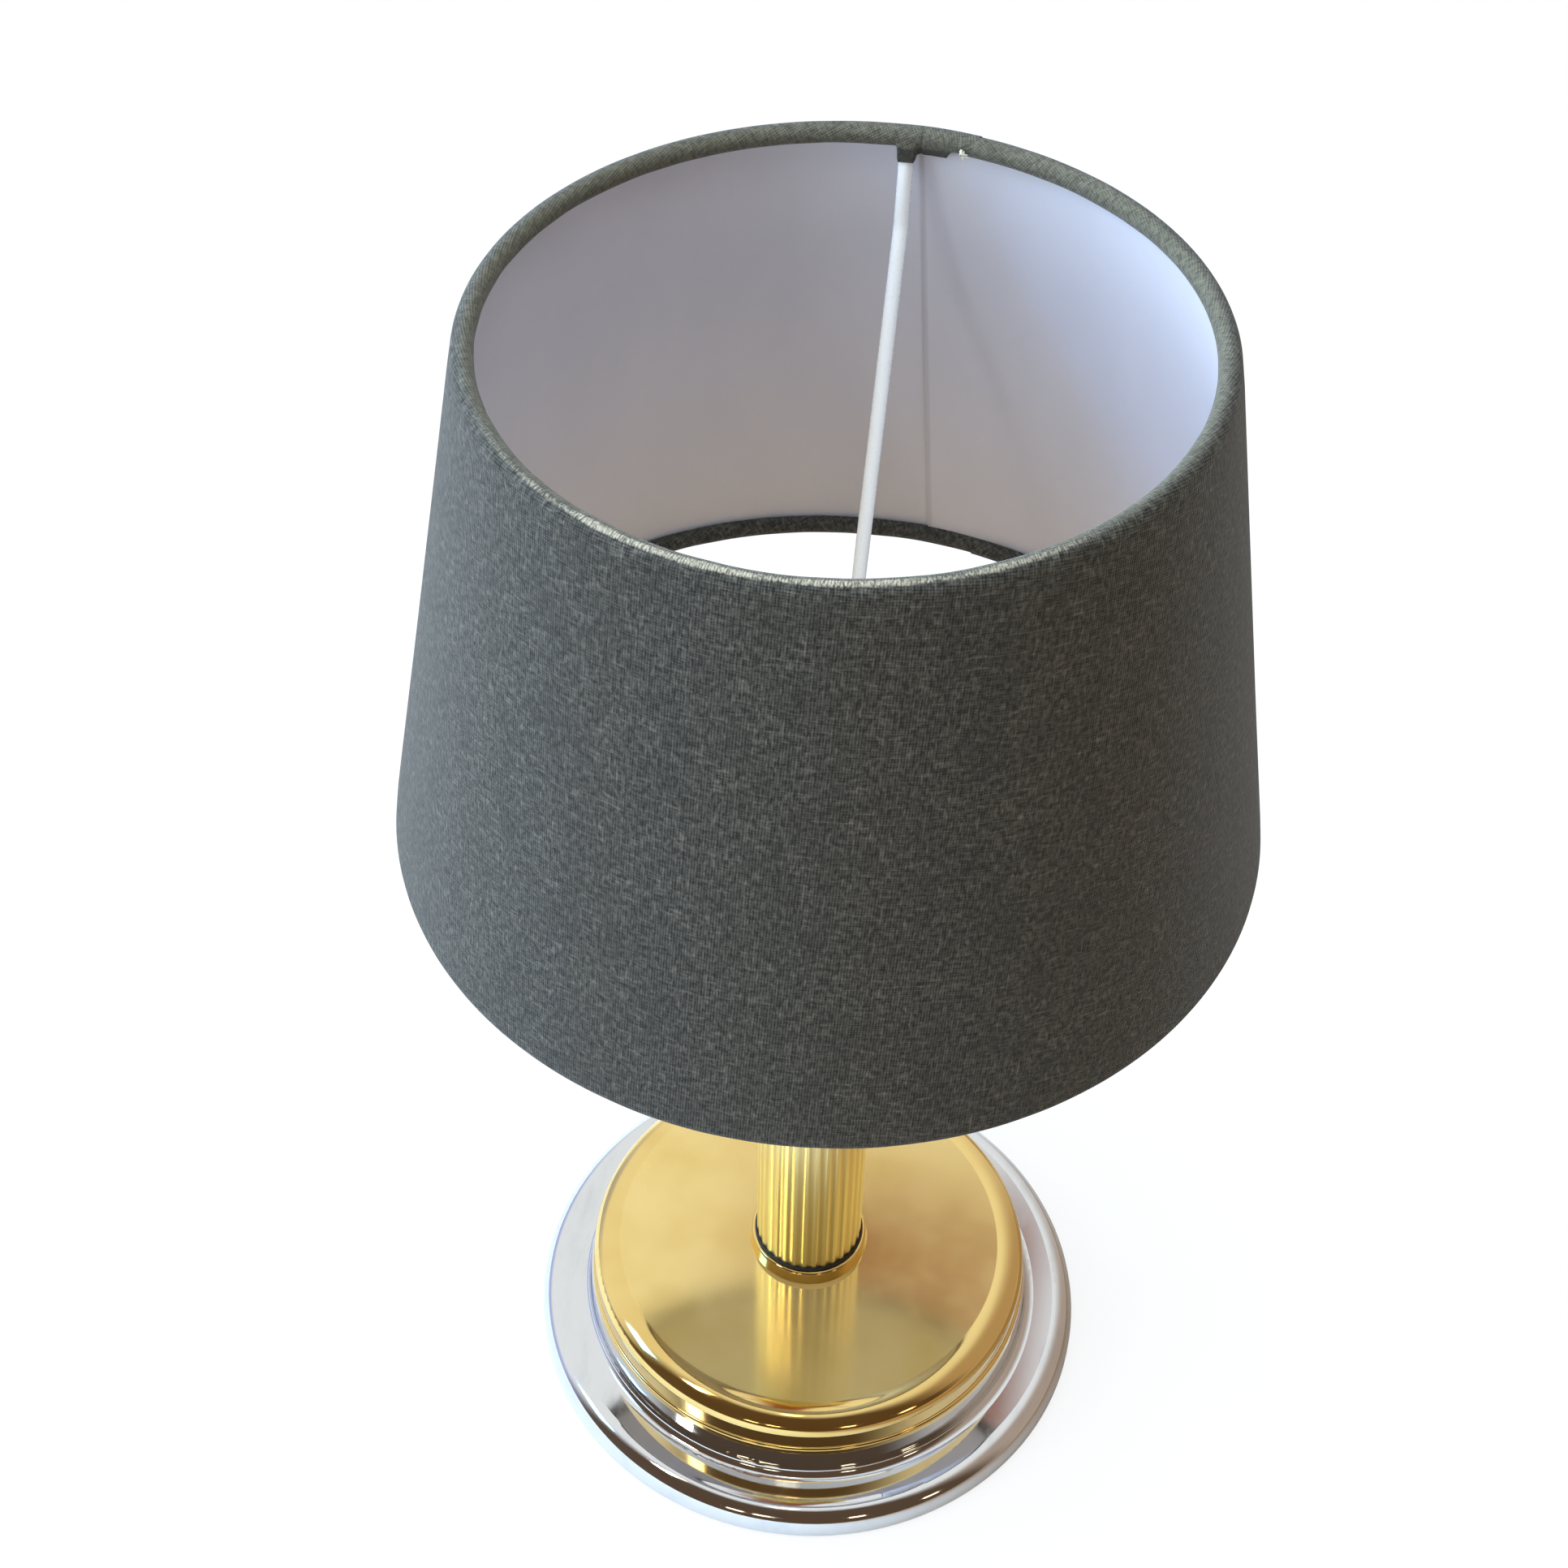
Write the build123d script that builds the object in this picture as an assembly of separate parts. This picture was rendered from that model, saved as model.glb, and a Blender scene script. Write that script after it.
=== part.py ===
from build123d import *
import os
from math import cos, degrees, radians, sin, sqrt, tau

# Candle lamp with a fabric shade. Millimetres, the lamp's axis on Z, the table at height 0.
# A spring inside the column pushes the candle up against a bayonet nozzle.

# Clearances
overrun = 2.0                  # a cutting body runs this far past the faces that it cuts
push_fit = 0.05                # between pieces pushed, glued or screwed into each other
running_fit = 0.07             # between pieces that turn or slide on each other
loose_fit = 0.5                # round the stud, in the holes that it only passes
seat_gap = 0.3                 # between a moving piece and what stops it

# Felt and bottom plate
felt_thickness = 1.5
felt_margin = 3.8              # from the rim's outside in to the felt's edge
plate_thickness = 1.5
plate_clearance = 0.5          # between the plate's edge and the inside of the rim
screw_count = 3
screw_circle_radius = 40.0
screw_radius = 1.5
screw_head_radius = 2.8
screw_length = 8.0

# Chrome flange, spun from sheet
rim_lift = 0.6                 # the rim's edge stays this far above the table
rim_lip = 1.9
rim_roll = 6.0                 # radius of the rolled edge
ledge_width = 5.4              # between the rolled edge and the fillet at the step's foot
flange_sheet = 1.2
step_foot_radius = 62.4
step_taper = 0.4               # the step's wall leans in by this much
step_height = 9.5
step_fillet = 3.0

# Cast weight, with a pocket below for the nut and washer
weight_clearance = 2.4
pocket_clearance = 2.0         # round the washer
washer_radius = 10.0
washer_thickness = 1.5
nut_flats = 16.0
nut_height = 5.0

# Stud from the nut up into the column's plug
stud_radius = 5.0
stud_chamfer = 0.6
stud_tail = 0.3                # below the nut
stud_tail_gap = 0.2            # between the stud's tail and the bottom plate
spacer_radius = 9.0

# Brass cap: flat disc, gently sloping crown round it, tighter shoulder, wall and foot lip
cap_height = 12.6
cap_sheet = 1.2
cap_ledge = 0.4                # from the edge of the step in to the cap's foot
cap_foot_edge = 0.7
cap_lip = 0.6                  # the foot stands out from the wall by this much
cap_lip_rise = 0.8             # from the foot's edge up to where the lip meets the wall
crown_radius = 9.7
crown_angle = 40.0             # from level down to the slope where the crown meets the shoulder
shoulder_radius = 4.0

# Collar and black ring under the column
collar_height = 4.0
collar_taper = 0.6
collar_round = 0.8
collar_margin = 0.9            # from the ring's outside out to the collar's top edge
seal_height = 1.0
seal_margin = 0.5              # from the column's outside out to the ring's
seal_round = 0.3

# Fluted column, its plug below and its cap ring above
column_length = 176.4
column_wall = 1.4
column_gap = 0.9               # between the candle tube and the column's bore
flute_count = 32
flute_radius = 2.6
flute_depth = 0.25
plug_foot = 4.0
plug_boss = 6.0
plug_cover = 2.3               # above the hole for the stud
plug_shoulder = 1.2            # from the column's bore in to the collar's
plug_tail_gap = 0.3            # the plug's tail stops this far above the disc
cap_ring_thickness = 3.5
cap_ring_overhang = 2.0        # past the column's outside
cap_ring_round = 1.2
cap_ring_spigot = 6.0

# Candle tube and the two pins that hold the nozzle
tube_wall = 0.7
tube_rise = 30.5               # above the cap ring
pin_radius = 1.2
pin_end = 0.5                  # shows outside the nozzle
pin_drop = 10.0                # below the tube's top
pin_azimuths = (0, 180)

# Spring, follower, candle and wick
spring_length = 38.4
spring_turns = 22
spring_wire_radius = 0.5
spring_clearance = 0.7         # between the spring and the tube's bore
spring_end_gap = 0.1
follower_wall = 0.5
follower_height = 8.0
follower_floor = 2.0
candle_radius = 10.75
candle_shoulder_drop = 1.0     # the candle's shoulder lies below the tube's top
candle_tip_height = 10.0
candle_tip_taper = 6.25        # from the candle's side in to the edge of its tip
wick_radius = 0.8
wick_length = 8.0
wick_root = 10.0

# Bayonet nozzle
nozzle_lift = 2.0              # above the carrier's spigot
nozzle_skirt_wall = 1.53
nozzle_wall = 1.2
nozzle_mouth_margin = 2.0      # from the edge of the candle's tip out to the mouth
bayonet_angle = 25.0
slot_clearance = 0.3
grip_count = 28
grip_radius = 0.8
grip_depth = 0.4
grip_length = 6.0
grip_margin = 1.0              # between the grip and the nozzle's shoulder

# Carrier that the shade's ring rests on
hub_height = 5.0
hub_wall = 3.13
carrier_flange_margin = 1.2    # past the outside of the shade's ring
carrier_flange_thickness = 1.5
carrier_flange_round = 0.5
carrier_spigot_height = 4.0
ring_clearance = 0.4           # between the carrier's spigot and the shade's ring

# Shade: wire frame, fabric rolled round its rings, and stiff lining
shade_height = 133.0
shade_bottom_radius = 99.0
shade_taper = 22.7             # the top edge is smaller in radius by this much
ring_rise = 13.0               # the spider's ring above the shade's lower edge
spider_ring_radius = 20.0
spider_ring_width = 3.8
spider_ring_thickness = 2.0
arm_azimuths = (90, 210, 330)
arm_radius = 1.65
arm_bend_drop = 20.5           # the bend in an arm, below the top ring
arm_bend_inset = 3.4           # the bend in an arm, inside the top ring
arm_bend_radius = 7.0
arm_start_share = 0.75         # of the ring wire's radius, from its centre down to the arm's end
ring_wire_radius = 1.45
fabric_thickness = 0.5
roll_gap = 0.35                # glue between a ring's wire and the fabric rolled round it
lining_thickness = 0.55
bond_gap = 0.03                # between the fabric and the lining
roll_end_angle = 292.0         # how far the fabric goes round each ring
notch_clearance = 0.3          # in the fabric, round each arm
lap_width = 8.0                # where the lining's ends overlap
lap_azimuth = 80.6
lap_thickness = 0.4

# Radii, from the candle out to the column, its collar and what it carries
follower_radius = candle_radius + push_fit + follower_wall
tube_bore_radius = follower_radius + seat_gap
tube_radius = tube_bore_radius + tube_wall
spring_mean_radius = tube_bore_radius - spring_clearance - spring_wire_radius
column_bore_radius = tube_radius + column_gap
column_radius = column_bore_radius + column_wall
collar_bore_radius = column_bore_radius - plug_shoulder
seal_radius = column_radius + seal_margin
collar_top_radius = seal_radius + collar_margin
collar_foot_radius = collar_top_radius + collar_taper
cap_ring_radius = column_radius + cap_ring_overhang
nozzle_radius = tube_radius + running_fit + nozzle_skirt_wall
pin_tip_radius = nozzle_radius + pin_end
candle_tip_radius = candle_radius - candle_tip_taper
nozzle_mouth_radius = candle_tip_radius + nozzle_mouth_margin
carrier_bore_radius = tube_radius + running_fit
hub_radius = carrier_bore_radius + hub_wall
carrier_flange_radius = spider_ring_radius + spider_ring_width + carrier_flange_margin

# Radii of the foot, from the step out to the rim and in to the disc
step_top_radius = step_foot_radius - step_taper
rim_radius = step_foot_radius + step_fillet + ledge_width + rim_roll
cap_foot_radius = step_top_radius - cap_ledge
cap_wall_radius = cap_foot_radius - cap_lip
shoulder_centre = cap_wall_radius - shoulder_radius
disc_radius = shoulder_centre - (crown_radius - shoulder_radius) * sin(radians(crown_angle))
pocket_radius = washer_radius + pocket_clearance

# Heights of the stack, from the table up
felt_top = felt_thickness
plate_top = felt_top + plate_thickness
roll_z = rim_lift + rim_lip
flange_top = roll_z + rim_roll
step_top = flange_top + step_height
weight_top = step_top - flange_sheet
stud_bottom = plate_top + stud_tail_gap
nut_bottom = stud_bottom + stud_tail
washer_bottom = nut_bottom + nut_height
pocket_top = washer_bottom + washer_thickness
cap_top = step_top + cap_height
shoulder_z = cap_top - crown_radius + (crown_radius - shoulder_radius) * cos(radians(crown_angle))
collar_top = cap_top + collar_height
column_foot = collar_top + seal_height
tube_foot = column_foot + plug_foot
plug_top = tube_foot + plug_boss
stud_hole_top = plug_top - plug_cover
stud_top = stud_hole_top - seat_gap
column_top = column_foot + column_length
cap_ring_top = column_top + cap_ring_thickness
tube_top = cap_ring_top + tube_rise
pin_z = tube_top - pin_drop
follower_foot = plug_top + spring_length
candle_foot = follower_foot + follower_floor
candle_shoulder = tube_top - candle_shoulder_drop
candle_tip = candle_shoulder + candle_tip_height
carrier_flange_bottom = cap_ring_top + hub_height
ring_seat = carrier_flange_bottom + carrier_flange_thickness
carrier_spigot_top = ring_seat + carrier_spigot_height
nozzle_bottom = carrier_spigot_top + nozzle_lift
spider_ring_top = ring_seat + spider_ring_thickness
shade_bottom = ring_seat - ring_rise
shade_top = shade_bottom + shade_height

# The shade's slope: centres of its two rings, the way up the wall, and the way out of it
shade_top_radius = shade_bottom_radius - shade_taper
hem_radius = ring_wire_radius + roll_gap + fabric_thickness
bottom_ring_centre = Vector(shade_bottom_radius - hem_radius, 0, shade_bottom + hem_radius)
top_ring_centre = Vector(shade_top_radius - hem_radius, 0, shade_top - hem_radius)
slant = (top_ring_centre - bottom_ring_centre).normalized()
outward = Vector(slant.Z, 0, -slant.X)


def turned(*outline):
    """A body turned about the lamp's axis from closed lines given as radius and height pairs."""
    corners = [(radius, 0, height) for radius, height in outline]
    return revolve(make_face(Polyline(*corners, close=True)), Axis.Z)


def turned_lines(lines):
    """A body turned about the lamp's axis from a closed run of lines and arcs."""
    edges = [edge for line in lines for edge in line.edges()]
    return revolve(make_face(edges), Axis.Z)


def sleeve(bore, radius, bottom, top):
    """A plain tube about the lamp's axis."""
    return turned((bore, bottom), (radius, bottom), (radius, top), (bore, top))


def post(radius, bottom, top):
    """A plain round bar about the lamp's axis."""
    return turned((0, bottom), (radius, bottom), (radius, top), (0, top))


def felt_pad():
    return post(rim_radius - felt_margin, 0, felt_top)


def screw(clearance, length):
    """A countersunk screw with its head in the bottom plate, larger all round by clearance."""
    head = screw_head_radius + clearance
    shank = screw_radius + clearance
    tip = felt_top + length + clearance
    return turned((0, felt_top), (head, felt_top), (shank, plate_top), (shank, tip), (0, tip))


def screw_places():
    return PolarLocations(screw_circle_radius, screw_count)


def plate_screws():
    return Compound(children=[place * screw(0, screw_length) for place in screw_places()])


def screw_holes():
    return [place * screw(push_fit, screw_length) for place in screw_places()]


def base_plate():
    plate = post(rim_radius - flange_sheet - plate_clearance, felt_top, plate_top)
    return plate - screw_holes()


def base_weight():
    radius = step_top_radius - flange_sheet - weight_clearance
    body = sleeve(stud_radius + loose_fit, radius, plate_top, weight_top)
    pocket = post(pocket_radius, plate_top - overrun, pocket_top)
    return body - pocket - screw_holes()


def base_washer():
    return sleeve(stud_radius + loose_fit, washer_radius, washer_bottom, pocket_top)


def base_nut():
    hexagon = RegularPolygon(nut_flats / 2, 6, major_radius=False)
    return Pos(0, 0, nut_bottom) * extrude(hexagon - Circle(stud_radius + push_fit), nut_height)


def tie_rod():
    end = stud_radius - stud_chamfer
    return turned(
        (0, stud_bottom), (end, stud_bottom), (stud_radius, stud_bottom + stud_chamfer),
        (stud_radius, stud_top - stud_chamfer), (end, stud_top), (0, stud_top),
    )


def flange_body(inset, foot):
    """The flange as a full body, drawn in by inset, standing at height foot."""
    rim = rim_radius - inset
    ledge = flange_top - inset
    roll = (rim_radius - rim_roll, 0, ledge)
    step = step_foot_radius - inset
    fillet_foot = (step + step_fillet, 0, ledge)
    fillet_top = (step, 0, ledge + step_fillet)
    return turned_lines([
        Polyline((step_top_radius - inset, 0, step_top - inset), (0, 0, step_top - inset), (0, 0, foot),
                 (rim, 0, foot), (rim, 0, roll_z)),
        TangentArc((rim, 0, roll_z), roll, tangent=(0, 0, 1)),
        Line(roll, fillet_foot),
        TangentArc(fillet_foot, fillet_top, tangent=(-1, 0, 0)),
        Line(fillet_top, (step_top_radius - inset, 0, step_top - inset)),
    ])


def base_flange():
    shell = flange_body(0, rim_lift) - flange_body(flange_sheet, rim_lift - overrun)
    return shell - post(stud_radius + loose_fit, weight_top - overrun, step_top + overrun)


def spacer_sleeve():
    return sleeve(stud_radius + loose_fit, spacer_radius, step_top, cap_top - cap_sheet)


def rounded(body, outer_radius, rounding):
    """Rounds the circular edges of a turned body that lie at outer_radius."""
    circles = body.edges().filter_by(GeomType.CIRCLE)
    return fillet([edge for edge in circles if abs(edge.radius - outer_radius) < push_fit], rounding)


def cap_body(inset, foot_z):
    """The cap above height foot_z as a full body without its foot lip, drawn in by inset."""
    wall = cap_wall_radius - inset
    rounding = shoulder_radius - inset
    across = sin(radians(crown_angle))
    rise = cos(radians(crown_angle))
    shoulder_foot = (wall, 0, shoulder_z)
    shoulder_top = (shoulder_centre + rounding * across, 0, shoulder_z + rounding * rise)
    disc_edge = (disc_radius, 0, cap_top - inset)
    return turned_lines([
        Polyline(disc_edge, (0, 0, cap_top - inset), (0, 0, foot_z), (wall, 0, foot_z), shoulder_foot),
        TangentArc(shoulder_foot, shoulder_top, tangent=(0, 0, 1)),
        TangentArc(shoulder_top, disc_edge, tangent=(-rise, 0, across)),
    ])


def cap_foot():
    """The lip round the cap's foot, rounded above."""
    wall = cap_wall_radius - cap_sheet / 2
    edge = (cap_foot_radius, 0, step_top + cap_foot_edge)
    lip_top = (cap_wall_radius, 0, step_top + cap_foot_edge + cap_lip_rise)
    return turned_lines([
        Polyline(lip_top, (wall, 0, lip_top[2]), (wall, 0, step_top), (cap_foot_radius, 0, step_top), edge),
        TangentArc(edge, lip_top, tangent=(0, 0, 1)),
    ])


def base_cap():
    hollow = cap_body(cap_sheet, step_top - overrun)
    hole = post(stud_radius + loose_fit, cap_top - cap_sheet - overrun, cap_top + overrun)
    return cap_body(0, step_top) + cap_foot() - hollow - hole


def collar():
    body = turned(
        (collar_bore_radius, cap_top), (collar_foot_radius, cap_top),
        (collar_top_radius, collar_top), (collar_bore_radius, collar_top),
    )
    return rounded(body, collar_top_radius, collar_round)


def seal_ring():
    ring = sleeve(collar_bore_radius, seal_radius, collar_top, column_foot)
    return rounded(ring, seal_radius, seal_round)


def column_plug():
    stud_hole = post(stud_radius + push_fit, cap_top - overrun, stud_hole_top)
    tail = collar_bore_radius - push_fit
    foot = column_bore_radius - push_fit
    boss = tube_bore_radius - push_fit
    body = turned(
        (0, cap_top + plug_tail_gap), (tail, cap_top + plug_tail_gap), (tail, column_foot),
        (foot, column_foot), (foot, tube_foot), (boss, tube_foot), (boss, plug_top), (0, plug_top),
    )
    return body - stud_hole


def column():
    flute_circle = column_radius + flute_radius - flute_depth
    flutes = [place * Circle(flute_radius) for place in PolarLocations(flute_circle, flute_count)]
    section = Circle(column_radius) - Circle(column_bore_radius) - flutes
    return Pos(0, 0, column_foot) * extrude(section, column_length)


def column_cap():
    bore = tube_radius + push_fit
    ring = rounded(sleeve(bore, cap_ring_radius, column_top, cap_ring_top), cap_ring_radius, cap_ring_round)
    return ring + sleeve(bore, column_bore_radius - push_fit, column_top - cap_ring_spigot, column_top)


def pin(azimuth, radius, inner, outer):
    """A radial pin at the bayonet's height, from inner to outer distance off the lamp's axis."""
    place = Rot(0, 0, azimuth) * Pos(inner, 0, pin_z) * Rot(0, 90, 0)
    return place * Cylinder(radius, outer - inner, align=(Align.CENTER, Align.CENTER, Align.MIN))


def candle_tube():
    tube = sleeve(tube_bore_radius, tube_radius, tube_foot, tube_top)
    return tube - [pin(azimuth, pin_radius + push_fit, 0, pin_tip_radius) for azimuth in pin_azimuths]


def bayonet_pins():
    inner = tube_bore_radius + push_fit
    return Compound(children=[pin(azimuth, pin_radius, inner, pin_tip_radius) for azimuth in pin_azimuths])


def biarc(start, start_way, end, end_way):
    """Two arcs that leave start along start_way and reach end along end_way."""
    span = end - start
    ways = start_way + end_way
    spread = 4 - ways.dot(ways)
    along = span.dot(ways)
    reach = (sqrt(along * along + spread * span.dot(span)) - along) / spread
    before = start + start_way * reach
    after = end - end_way * reach
    middle = (before + after) / 2
    return [
        TangentArc(start, middle, tangent=start_way),
        TangentArc(middle, end, tangent=(after - before).normalized()),
    ]


def spring_point(turn, foot, pitch):
    """Place and way of the spring's wire after a number of turns."""
    angle = tau * turn
    place = Vector(spring_mean_radius * cos(angle), spring_mean_radius * sin(angle), foot + pitch * turn)
    way = Vector(-spring_mean_radius * sin(angle), spring_mean_radius * cos(angle), pitch / tau)
    return place, way.normalized()


def candle_spring():
    foot = plug_top + spring_wire_radius + spring_end_gap
    head = follower_foot - spring_wire_radius - spring_end_gap
    pitch = (head - foot) / spring_turns
    print("candle_spring: least gap between turns", round(pitch - 2 * spring_wire_radius, 3))
    arcs = []
    for half in range(2 * spring_turns):
        start, start_way = spring_point(half / 2, foot, pitch)
        end, end_way = spring_point((half + 1) / 2, foot, pitch)
        arcs += biarc(start, start_way, end, end_way)
    place, way = spring_point(0, foot, pitch)
    path = Wire([arc.edge() for arc in arcs])
    return sweep(Plane(place, z_dir=way) * Circle(spring_wire_radius), path=path)


def follower():
    cup = post(follower_radius, follower_foot, follower_foot + follower_height)
    return cup - post(candle_radius + push_fit, candle_foot, follower_foot + follower_height + overrun)


def candle():
    body = turned(
        (0, candle_foot), (candle_radius, candle_foot), (candle_radius, candle_shoulder),
        (candle_tip_radius, candle_tip), (0, candle_tip),
    )
    return body - post(wick_radius + push_fit, candle_tip - wick_root, candle_tip + overrun)


def wick():
    return post(wick_radius, candle_tip - wick_root, candle_tip + wick_length)


def nozzle_shell():
    """The nozzle before its slots: a sleeve, a shoulder, and a cone that follows the candle's tip."""
    slope = (candle_radius - candle_tip_radius) / candle_tip_height
    across = sqrt(1 + slope * slope)
    inside = candle_radius + seat_gap * across
    outside = inside + nozzle_wall * across
    bore = tube_radius + running_fit
    ceiling = tube_top + seat_gap
    shoulder = ceiling + nozzle_wall
    mouth = candle_shoulder + (inside - nozzle_mouth_radius) / slope
    return turned(
        (bore, nozzle_bottom), (nozzle_radius, nozzle_bottom), (nozzle_radius, shoulder),
        (outside - slope * (shoulder - candle_shoulder), shoulder),
        (outside - slope * (mouth - candle_shoulder), mouth), (nozzle_mouth_radius, mouth),
        (inside - slope * (ceiling - candle_shoulder), ceiling), (bore, ceiling),
    )


def bayonet_slot(azimuth):
    """A slot that comes up from the nozzle's lower edge and turns aside to the pin."""
    half = pin_radius + slot_clearance
    reach = nozzle_radius + overrun
    bottom = nozzle_bottom - overrun
    entry = Pos(reach / 2, 0, (bottom + pin_z) / 2) * Box(reach, 2 * half, pin_z - bottom)
    turn = revolve(
        make_face(Polyline((0, 0, pin_z - half), (reach, 0, pin_z - half), (reach, 0, pin_z + half),
                           (0, 0, pin_z + half), close=True)),
        Axis.Z, bayonet_angle,
    )
    ends = [pin(angle, half, 0, reach) for angle in (0, bayonet_angle)]
    return [Rot(0, 0, azimuth - bayonet_angle) * body for body in (entry, turn, *ends)]


def nozzle():
    grip_top = tube_top + seat_gap + nozzle_wall - grip_margin
    groove = Cylinder(grip_radius, grip_length, align=(Align.CENTER, Align.CENTER, Align.MAX))
    circle = PolarLocations(nozzle_radius + grip_radius - grip_depth, grip_count)
    body = nozzle_shell() - [Pos(0, 0, grip_top) * place * groove for place in circle]
    for azimuth in pin_azimuths:
        body = body - bayonet_slot(azimuth)
    return body


def shade_carrier():
    spigot = spider_ring_radius - ring_clearance
    body = turned(
        (carrier_bore_radius, cap_ring_top), (hub_radius, cap_ring_top), (hub_radius, carrier_flange_bottom),
        (carrier_flange_radius, carrier_flange_bottom), (carrier_flange_radius, ring_seat),
        (spigot, ring_seat), (spigot, carrier_spigot_top), (carrier_bore_radius, carrier_spigot_top),
    )
    return rounded(body, carrier_flange_radius, carrier_flange_round)


def spider_ring():
    return sleeve(spider_ring_radius, spider_ring_radius + spider_ring_width, ring_seat, spider_ring_top)


def arm_wire(radius):
    """One arm's wire on the X axis, from under the top ring down past the spider's ring."""
    top = top_ring_centre
    bend = Vector(top.X - arm_bend_inset, 0, top.Z - arm_bend_drop)
    foot = Vector(spider_ring_radius + spider_ring_width / 2, 0, spider_ring_top)
    start = top + (bend - top).normalized() * (ring_wire_radius * arm_start_share)
    end = foot + (foot - bend).normalized() * overrun
    path = FilletPolyline(start, bend, end, radius=arm_bend_radius)
    return sweep(Plane(start, z_dir=path % 0) * Circle(radius), path=path)


def spider_arm(azimuth):
    below = post(spider_ring_radius + spider_ring_width + overrun, ring_seat - overrun, spider_ring_top)
    return Rot(0, 0, azimuth) * (arm_wire(arm_radius) - ring_wire(top_ring_centre, push_fit) - below)


def ring_wire(centre, clearance):
    """A ring of the shade's frame, thicker all round by clearance."""
    return Pos(0, 0, centre.Z) * Torus(centre.X, ring_wire_radius + clearance)


def roll_arc(centre, up, radius):
    """The arc of the fabric's section round one ring, from the wall out and over the wire."""
    points = [
        centre + outward * (radius * cos(radians(angle))) + up * (radius * sin(radians(angle)))
        for angle in (0, roll_end_angle / 2, roll_end_angle)
    ]
    return ThreePointArc(*points)


def shade_fabric():
    outer = hem_radius
    inner = hem_radius - fabric_thickness
    lines = []
    for side in (outer, inner):
        lines.append(Line(bottom_ring_centre + outward * side, top_ring_centre + outward * side))
    for centre, up in ((top_ring_centre, slant), (bottom_ring_centre, -slant)):
        arcs = [roll_arc(centre, up, radius) for radius in (outer, inner)]
        lines += arcs
        lines.append(Line(arcs[0] @ 1, arcs[1] @ 1))
    notches = [Rot(0, 0, azimuth) * arm_wire(arm_radius + notch_clearance) for azimuth in arm_azimuths]
    return turned_lines(lines) - notches


def wall_section(outer, thickness, margin):
    """The section of a layer inside the shade's wall, with its ends held back from the rings."""
    corners = []
    for side in (outer, outer - thickness):
        corners.append(bottom_ring_centre + outward * side + slant * margin)
    for side in (outer - thickness, outer):
        corners.append(top_ring_centre + outward * side - slant * margin)
    return make_face(Polyline(*corners, close=True))


def shade_lining():
    outer = hem_radius - fabric_thickness - bond_gap
    inner = outer - lining_thickness
    wire = ring_wire_radius + push_fit
    margin = sqrt(wire * wire - inner * inner) + push_fit
    sheet = revolve(wall_section(outer, lining_thickness, margin), Axis.Z)
    lap_angle = degrees(lap_width / top_ring_centre.X)
    lap_margin = hem_radius + push_fit
    lap = wall_section(outer - lining_thickness / 2, lining_thickness / 2 + lap_thickness, lap_margin)
    return sheet + Rot(0, 0, lap_azimuth) * revolve(lap, Axis.Z, lap_angle)


pieces = {
    "felt_pad": felt_pad(),
    "base_plate": base_plate(),
    "plate_screws": plate_screws(),
    "base_weight": base_weight(),
    "base_washer": base_washer(),
    "base_nut": base_nut(),
    "tie_rod": tie_rod(),
    "base_flange": base_flange(),
    "spacer_sleeve": spacer_sleeve(),
    "base_cap": base_cap(),
    "collar": collar(),
    "seal_ring": seal_ring(),
    "column_plug": column_plug(),
    "column": column(),
    "column_cap": column_cap(),
    "candle_tube": candle_tube(),
    "bayonet_pins": bayonet_pins(),
    "candle_spring": candle_spring(),
    "follower": follower(),
    "candle": candle(),
    "wick": wick(),
    "nozzle": nozzle(),
    "shade_carrier": shade_carrier(),
    "spider_ring": spider_ring(),
    "top_ring": ring_wire(top_ring_centre, 0),
    "bottom_ring": ring_wire(bottom_ring_centre, 0),
    "shade_fabric": shade_fabric(),
    "shade_lining": shade_lining(),
}
for number, azimuth in enumerate(arm_azimuths, start=1):
    pieces[f"spider_arm_{number}"] = spider_arm(azimuth)

os.makedirs("parts", exist_ok=True)
for name, solid in pieces.items():
    export_step(solid, f"parts/{name}.step")
    print(name, "volume", round(solid.volume, 1))
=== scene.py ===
from math import cos, pi, radians, sin, tau

import bpy
from mathutils import Matrix, Vector, noise


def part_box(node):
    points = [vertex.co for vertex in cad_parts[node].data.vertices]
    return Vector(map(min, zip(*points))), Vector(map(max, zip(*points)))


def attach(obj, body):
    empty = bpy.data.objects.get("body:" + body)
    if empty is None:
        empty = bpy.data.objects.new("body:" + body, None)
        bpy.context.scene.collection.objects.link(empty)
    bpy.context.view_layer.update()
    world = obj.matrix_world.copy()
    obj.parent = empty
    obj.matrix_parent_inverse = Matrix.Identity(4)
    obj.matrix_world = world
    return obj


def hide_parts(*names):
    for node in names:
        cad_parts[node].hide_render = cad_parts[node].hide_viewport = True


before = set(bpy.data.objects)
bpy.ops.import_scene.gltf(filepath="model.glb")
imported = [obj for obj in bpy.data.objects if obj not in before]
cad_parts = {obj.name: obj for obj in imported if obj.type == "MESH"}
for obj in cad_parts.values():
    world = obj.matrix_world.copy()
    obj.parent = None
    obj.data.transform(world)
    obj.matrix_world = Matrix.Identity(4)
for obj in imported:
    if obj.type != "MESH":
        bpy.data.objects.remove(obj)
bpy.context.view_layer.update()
scene = bpy.context.scene
MM = 0.001

# The camera, fitted to the ellipses in the photograph
photo_pixels = 1932
lens_centre_pixel = 850                # the fitted optical centre, left of the frame's middle
focal_pixels = 3049.3
sensor_width = 36.0
camera_place = Vector((0.0644, -0.3905, 0.6257))
camera_turn = radians(13.912)          # to the left of straight ahead
camera_tilt = radians(46.111)          # below the horizon
camera_roll = radians(-1.020)

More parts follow.
